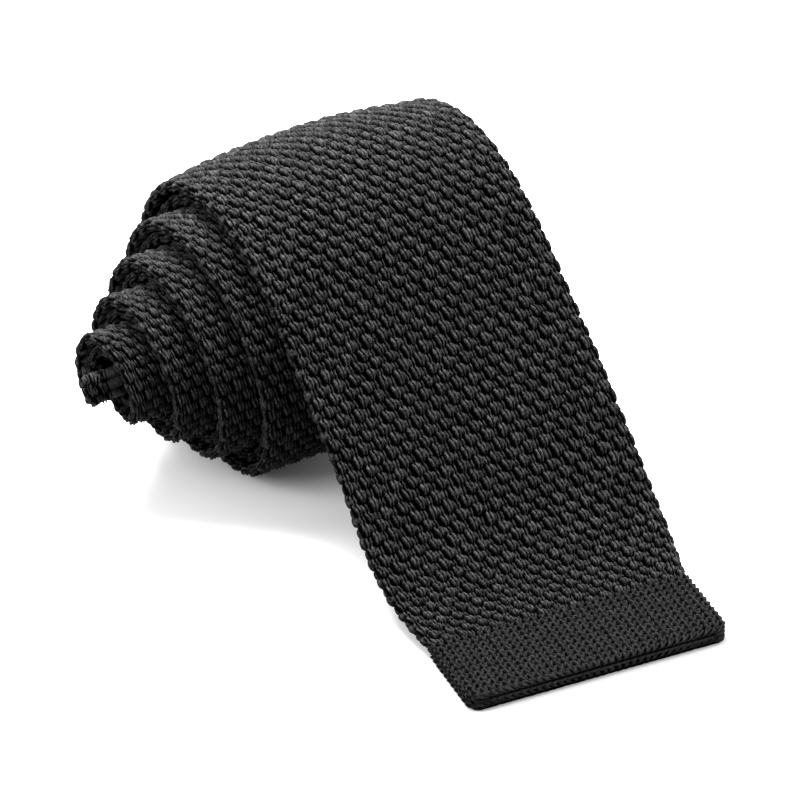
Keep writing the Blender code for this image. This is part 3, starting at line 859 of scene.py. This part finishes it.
def hem_ply(name, low, high, material):
    """One ply of the plain hem: a slab with knitted faces, rounded at its end and corners."""
    half = 0.5 * (high - low)
    ends = np.array([0.0, 0.02, 0.08, 0.18, 0.32, 0.5, 0.7]) * half / 0.7
    s = np.r_[ends, spaced(ends[-1], HEM_LENGTH, HEM_STEP)[1:]]
    q = columns(HEM_STEP, back=HEM_BACK, half_width=HEM_WIDTH / 2, half=0.7)
    middle, across, normal, _ = read_path(RAMP, s)
    middle = middle + normal * (0.5 * (low + high) - LAY / 2)
    swell = quarter_round(s / half)
    core = np.maximum((half - HEM_SKIN) * swell, 0.02)
    reach = HEM_WIDTH / 2 - HEM_SKIN - HEM_CORNER * (1.0 - quarter_round(s / HEM_CORNER))
    a, b, na, nb = outline_rows(q, reach, core)
    wales = 2 * round(HEM_WIDTH / WALE)
    u = q[None, :] * wales + 0.08 * wander(s[:, None] * 2, a * 2, 5)
    v = s[:, None] / COURSE + 0.08 * wander(s[:, None] * 2, a * 2, 6)
    # Height and painted shade of the hem's stitches, the shade darkest between them.
    height, shade_and_tone = sample(PLAIN_TILE, "height", u, v), sample(PLAIN_TILE, "shade_and_tone", u, v)
    rise = (height - PLAIN_TOP) * swell[:, None] + HEM_SKIN
    points = in_space(middle, across, normal, a + na * rise, b + nb * rise)
    return make_object(name, points, shade_and_tone, material)


def hem_cloth(name, level, material):
    """The cloth inside a hem ply, one flat sheet."""
    inset = 1.2
    s = spaced(inset, HEM_LENGTH - 0.3, CLOTH_STEP)
    a = np.linspace(-HEM_WIDTH / 2 + inset, HEM_WIDTH / 2 - inset, 64)
    middle, across, normal, _ = read_path(RAMP, s)
    middle = middle + normal * (level - LAY / 2)
    points = middle[:, None, :] + across[:, None, :] * a[None, :, None]
    # The cloth gets the darkest colour of its yarn: a near black sheet, painted shade that shows
    # between the hem's stitches.
    return make_object(name, points, np.zeros(points.shape[:2]), material, closed=False)


def build_hem():
    """Two plain plies, one on the other, with the linking thread between them."""
    for side, low, high in HEM_PLIES:
        knit = hem_ply(f"hem_{side}_knit", low, high, HEM_YARN)
        cloth = hem_cloth(f"hem_{side}_cloth", 0.5 * (low + high), HEM_YARN)
        place_knit(knit, cloth, f"hem_ply_{side}", lambda obj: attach(obj, "tip"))
    middle, across, normal, _ = (x[0] for x in read_path(RAMP, np.array([0.75])))
    middle = middle + normal * (HEM_HALF - LAY / 2)
    side = across * 23.4
    thread_run("hem_thread", middle - side, middle + side, normal, 0.38, "tip", "hem_linking_thread")


build_free_end()
build_turns()
build_neck_fold()
build_tail_hem()
build_trim()
build_hem()

# ---------------------------------------------------------------- stage, light and camera

def add_floor():
    """Matt white table, which throws no light back up onto the tie."""
    mesh = bpy.data.meshes.new("floor")
    r = FLOOR_REACH
    mesh.from_pydata([(-r, -r, 0), (r, -r, 0), (r, r, 0), (-r, r, 0)], [], [(0, 1, 2, 3)])
    floor = bpy.data.objects.new("floor", mesh)
    bpy.context.collection.objects.link(floor)
    material = bpy.data.materials.new("floor_white")
    material.use_nodes = True
    shader = material.node_tree.nodes["Principled BSDF"]
    shader.inputs["Base Color"].default_value = (0.92, 0.92, 0.92, 1.0)
    shader.inputs["Roughness"].default_value = 0.9
    mesh.materials.append(material)
    floor.visible_diffuse = False


def add_light(name, place, size, power):
    """Round area light at a place, aimed at the middle of the tie."""
    data = bpy.data.lights.new(name, "AREA")
    data.shape = "DISK"
    data.size = size
    data.energy = power
    light = bpy.data.objects.new(name, data)
    light.location = place
    aim = Vector(LIGHT_AIM) - Vector(place)
    light.rotation_mode = "QUATERNION"
    light.rotation_quaternion = aim.to_track_quat("-Z", "Y")
    bpy.context.collection.objects.link(light)


def add_camera():
    level = math.cos(VIEW_ELEVATION)
    back = Vector((-math.sin(VIEW_AZIMUTH) * level, -math.cos(VIEW_AZIMUTH) * level,
                   math.sin(VIEW_ELEVATION)))
    target = Vector((VIEW_TARGET[0] - ORIGIN_AT * math.sin(YAW),
                     VIEW_TARGET[1] - ORIGIN_AT * math.cos(YAW), 0.0)) * MM
    data = bpy.data.cameras.new("camera")
    data.sensor_width = SENSOR
    data.lens = LENS
    data.clip_start = 0.05
    camera = bpy.data.objects.new("camera", data)
    camera.location = target + back * VIEW_DISTANCE
    camera.rotation_mode = "QUATERNION"
    camera.rotation_quaternion = (-back).to_track_quat("-Z", "Y")
    bpy.context.collection.objects.link(camera)
    bpy.context.scene.camera = camera


def add_world():
    """White from above and behind, dimmer from the viewer's side and from below."""
    world = bpy.data.worlds.new("studio")
    bpy.context.scene.world = world
    world.use_nodes = True
    nodes, links = world.node_tree.nodes, world.node_tree.links
    coords = nodes.new("ShaderNodeTexCoord")
    upward = nodes.new("ShaderNodeVectorMath")
    upward.operation = "DOT_PRODUCT"
    upward.inputs[1].default_value = (-0.20, 0.42, 0.88)
    links.new(coords.outputs["Generated"], upward.inputs[0])
    ramp = nodes.new("ShaderNodeValToRGB")
    ramp.color_ramp.elements[0].position = 0.0
    ramp.color_ramp.elements[0].color = (0.10, 0.10, 0.10, 1.0)
    ramp.color_ramp.elements[1].position = 0.45
    ramp.color_ramp.elements[1].color = (1.0, 1.0, 1.0, 1.0)
    links.new(upward.outputs["Value"], ramp.inputs["Fac"])
    links.new(ramp.outputs["Color"], nodes["Background"].inputs["Color"])
    nodes["Background"].inputs["Strength"].default_value = WORLD_LIGHT


bpy.context.scene.view_settings.view_transform = "Standard"
add_world()
add_floor()
add_light("key", (0.0, 0.22, 0.30), 0.20, 4.0)
add_light("side", (-0.45, 0.06, 0.34), 0.30, 1.8)
add_light("fill", (0.40, -0.40, 0.15), 0.25, 4.2)
add_camera()
